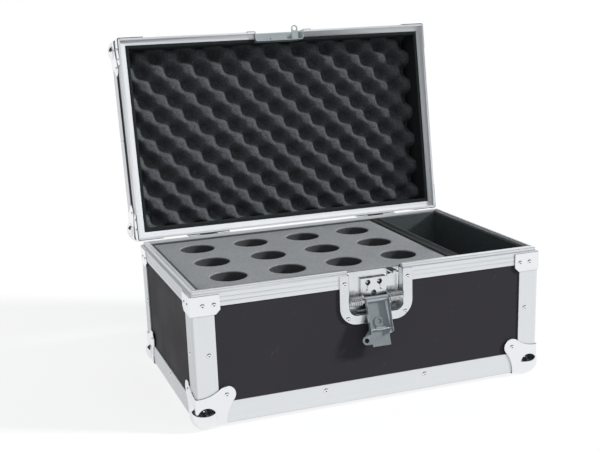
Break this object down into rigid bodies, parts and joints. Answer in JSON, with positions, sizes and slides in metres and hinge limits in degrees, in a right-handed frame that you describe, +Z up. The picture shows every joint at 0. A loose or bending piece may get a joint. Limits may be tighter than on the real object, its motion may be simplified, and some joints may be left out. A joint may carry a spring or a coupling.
{
  "type": "microphone flight case",
  "caption": "Small flight case with aluminium edges, ball corners and a recessed lever latch; hinged lid with wave foam, foam block with microphone holes, and an accessory compartment.",
  "frame": {"origin": "middle of the whole outline on the floor, with the lid open as stored", "axes": "+X along the case's width, to the right as seen from its front; +Y from the latch side to the hinge side; +Z up"},
  "size_m": [0.514, 0.4516, 0.4915],
  "materials": {
    "aluminium_edge": "mill finish, lightly brushed along its length",
    "chromed_steel": "bright plated",
    "zinc_plated_steel": "bright zinc plate",
    "spring_steel": "bright drawn wire",
    "lever_steel": "bluish zinc plate",
    "laminated_board": "dark grey laminate with a fine texture",
    "black_lining": "matt foam sheet",
    "grey_foam": "open-cell foam, fine speckle",
    "dark_foam": "open-cell wave foam",
    "black_grip": "moulded"
  },
  "bodies": {
    "case_body": {"base_panel": "laminated_board", "front_panel": "laminated_board", "back_panel": "laminated_board", "left_panel": "laminated_board", "right_panel": "laminated_board", "base_angle_front": "aluminium_edge", "base_angle_back": "aluminium_edge", "base_angle_left": "aluminium_edge", "base_angle_right": "aluminium_edge", "corner_angle_fl": "aluminium_edge", "corner_angle_fr": "aluminium_edge", "corner_angle_bl": "aluminium_edge", "corner_angle_br": "aluminium_edge", "rim_front": "aluminium_edge", "rim_back": "aluminium_edge", "rim_left": "aluminium_edge", "rim_right": "aluminium_edge", "ball_corner_fl": "chromed_steel", "ball_corner_fr": "chromed_steel", "ball_corner_bl": "chromed_steel", "ball_corner_br": "chromed_steel", "rim_corner_plates": "chromed_steel", "body_rivets": "chromed_steel", "body_liner": "black_lining", "microphone_foam": "grey_foam", "divider": "black_lining", "latch_dish": "zinc_plated_steel", "latch_base": "zinc_plated_steel", "lever_pin": "chromed_steel", "latch_springs": "spring_steel", "padlock_tab": "zinc_plated_steel", "latch_rivets": "chromed_steel", "hinge_body_leaves": "zinc_plated_steel", "hinge_pins": "chromed_steel"},
    "lid": {"lid_panel": "laminated_board", "lid_front_board": "laminated_board", "lid_back_board": "laminated_board", "lid_side_boards": "laminated_board", "lid_angle_front": "aluminium_edge", "lid_angle_back": "aluminium_edge", "lid_side_angles": "aluminium_edge", "lid_corner_angles": "aluminium_edge", "lid_rim_front": "aluminium_edge", "lid_rim_back": "aluminium_edge", "lid_side_rims": "aluminium_edge", "lid_ball_corners": "chromed_steel", "lid_corner_plates": "chromed_steel", "lid_rivets": "chromed_steel", "convoluted_foam": "dark_foam", "lid_liner": "black_lining", "lid_dish": "zinc_plated_steel", "lid_keeper": "zinc_plated_steel", "hinge_lid_leaves": "zinc_plated_steel", "handle_brackets": "zinc_plated_steel"},
    "lever": {"latch_lever": "lever_steel", "hook_pin": "chromed_steel"},
    "hook": {"latch_hook": "zinc_plated_steel"},
    "handle": {"handle_bail": "zinc_plated_steel", "handle_grip": "black_grip"}
  },
  "joints": [
    {"name": "lid_hinge", "type": "hinge", "parent": "case_body", "child": "lid", "pos_m": [0, 0.10005, 0.1815], "axis": [1, 0, 0], "range_deg": [0, 98.99]},
    {"name": "latch_lever_pivot", "type": "hinge", "parent": "case_body", "child": "lever", "pos_m": [0.002, -0.20495, 0.146], "axis": [-1, 0, 0], "range_deg": [0, 161]},
    {"name": "latch_hook_pivot", "type": "hinge", "parent": "lever", "child": "hook", "pos_m": [0.002, -0.21829, 0.10829], "axis": [1, 0, 0], "range_deg": [0, 168]},
    {"name": "handle_swing", "type": "hinge", "parent": "lid", "child": "handle", "pos_m": [0, 0.20849, 0.32278], "axis": [1, 0, 0], "range_deg": [-9, 81]}
  ]
}
